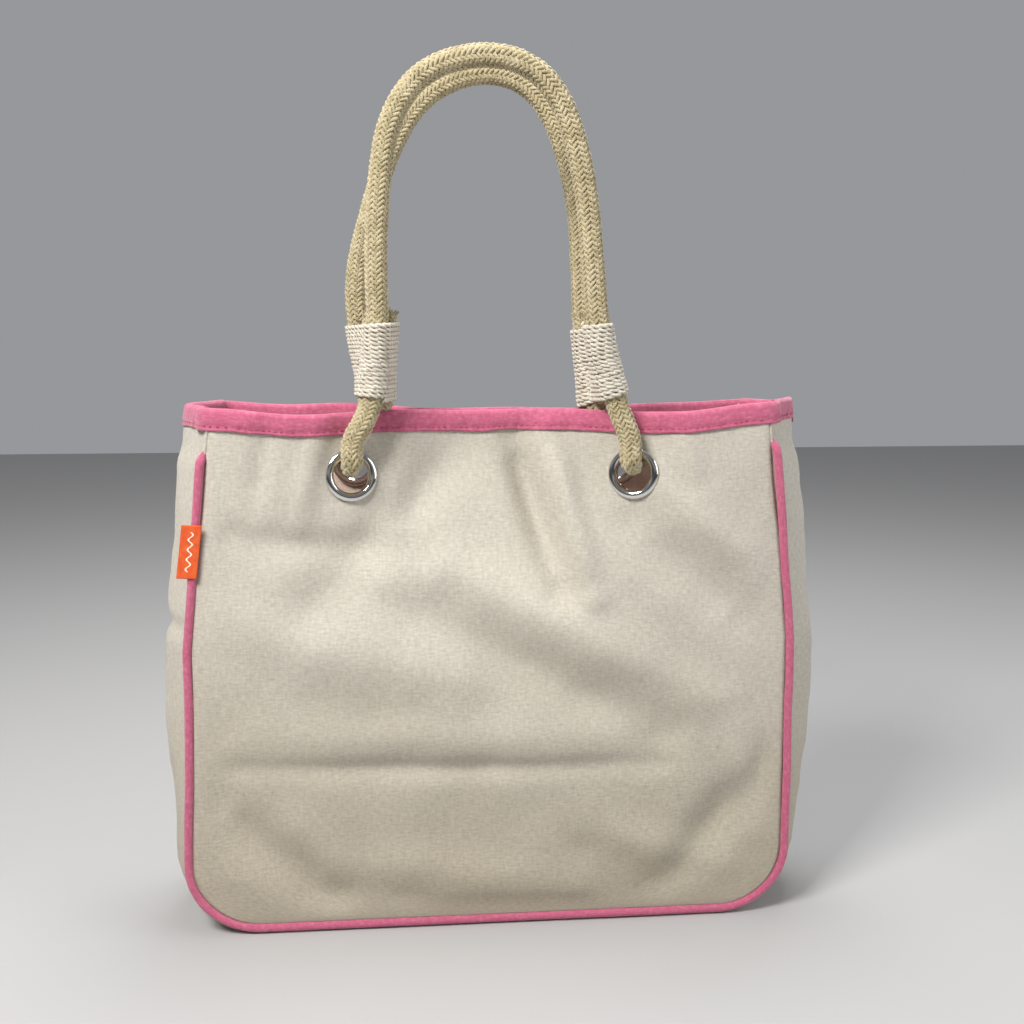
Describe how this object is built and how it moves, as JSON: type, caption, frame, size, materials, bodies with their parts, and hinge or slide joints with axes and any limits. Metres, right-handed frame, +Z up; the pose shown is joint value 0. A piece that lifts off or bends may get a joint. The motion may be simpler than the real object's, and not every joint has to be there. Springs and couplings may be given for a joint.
{
  "type": "beach bag",
  "caption": "Soft canvas beach bag with a boxed base, piped panels, a bound mouth, metal eyelets and whipped rope handles.",
  "frame": {"origin": "middle of the base, on the surface the bag stands on", "axes": "+X to the right seen from the front, the front faces -Y, +Z up"},
  "size_m": [0.4262, 0.1036, 0.5634],
  "materials": {
    "canvas": "plain woven natural cotton canvas with slubs and flecks",
    "lining": "light plain woven cotton lining",
    "pink_trim": "matt woven cotton tape",
    "rope": "braided cotton rope",
    "twine": "twisted white cotton twine",
    "nickel": "polished nickel plate",
    "label": null
  },
  "bodies": {
    "base": {"gusset": "canvas", "gusset_lining": "lining", "left_binding": "pink_trim", "right_binding": "pink_trim"},
    "front_wall": {"front_panel": "canvas", "front_lining": "lining", "front_binding": "pink_trim", "front_piping": "pink_trim", "front_press_stud": "nickel", "front_left_eyelet": "nickel", "front_left_washer": "nickel", "front_left_rope_loop": "rope", "front_right_eyelet": "nickel", "front_right_washer": "nickel", "front_right_rope_loop": "rope"},
    "back_wall": {"back_panel": "canvas", "back_lining": "lining", "back_binding": "pink_trim", "back_piping": "pink_trim", "back_press_stud": "nickel", "back_left_eyelet": "nickel", "back_left_washer": "nickel", "back_left_rope_loop": "rope", "back_right_eyelet": "nickel", "back_right_washer": "nickel", "back_right_rope_loop": "rope"},
    "front_handle": {"front_handle_rope": "rope", "front_left_rope_tail": "rope", "front_left_whipping": "twine", "front_right_rope_tail": "rope", "front_right_whipping": "twine"},
    "back_handle": {"back_handle_rope": "rope", "back_left_rope_tail": "rope", "back_left_whipping": "twine", "back_right_rope_tail": "rope", "back_right_whipping": "twine"},
    "label": {"woven_label": "label"}
  },
  "joints": [
    {"name": "front_wall_lean", "type": "hinge", "parent": "base", "child": "front_wall", "pos_m": [0, -0.0489, 0], "axis": [1, 0, 0], "range_deg": [0, 4]},
    {"name": "back_wall_lean", "type": "hinge", "parent": "base", "child": "back_wall", "pos_m": [0, 0.0489, 0], "axis": [-1, 0, 0], "range_deg": [0, 4]},
    {"name": "front_handle_swing", "type": "hinge", "parent": "front_wall", "child": "front_handle", "pos_m": [0, -0.0462, 0.344], "axis": [1, 0, 0], "range_deg": [-6, 110]},
    {"name": "back_handle_swing", "type": "hinge", "parent": "back_wall", "child": "back_handle", "pos_m": [0, 0.0462, 0.344], "axis": [-1, 0, 0], "range_deg": [-6, 110]},
    {"name": "label_turn", "type": "hinge", "parent": "front_wall", "child": "label", "pos_m": [-0.1867, -0.04755, 0.25525], "axis": [0, 0, 1], "range_deg": [0, 165]}
  ]
}
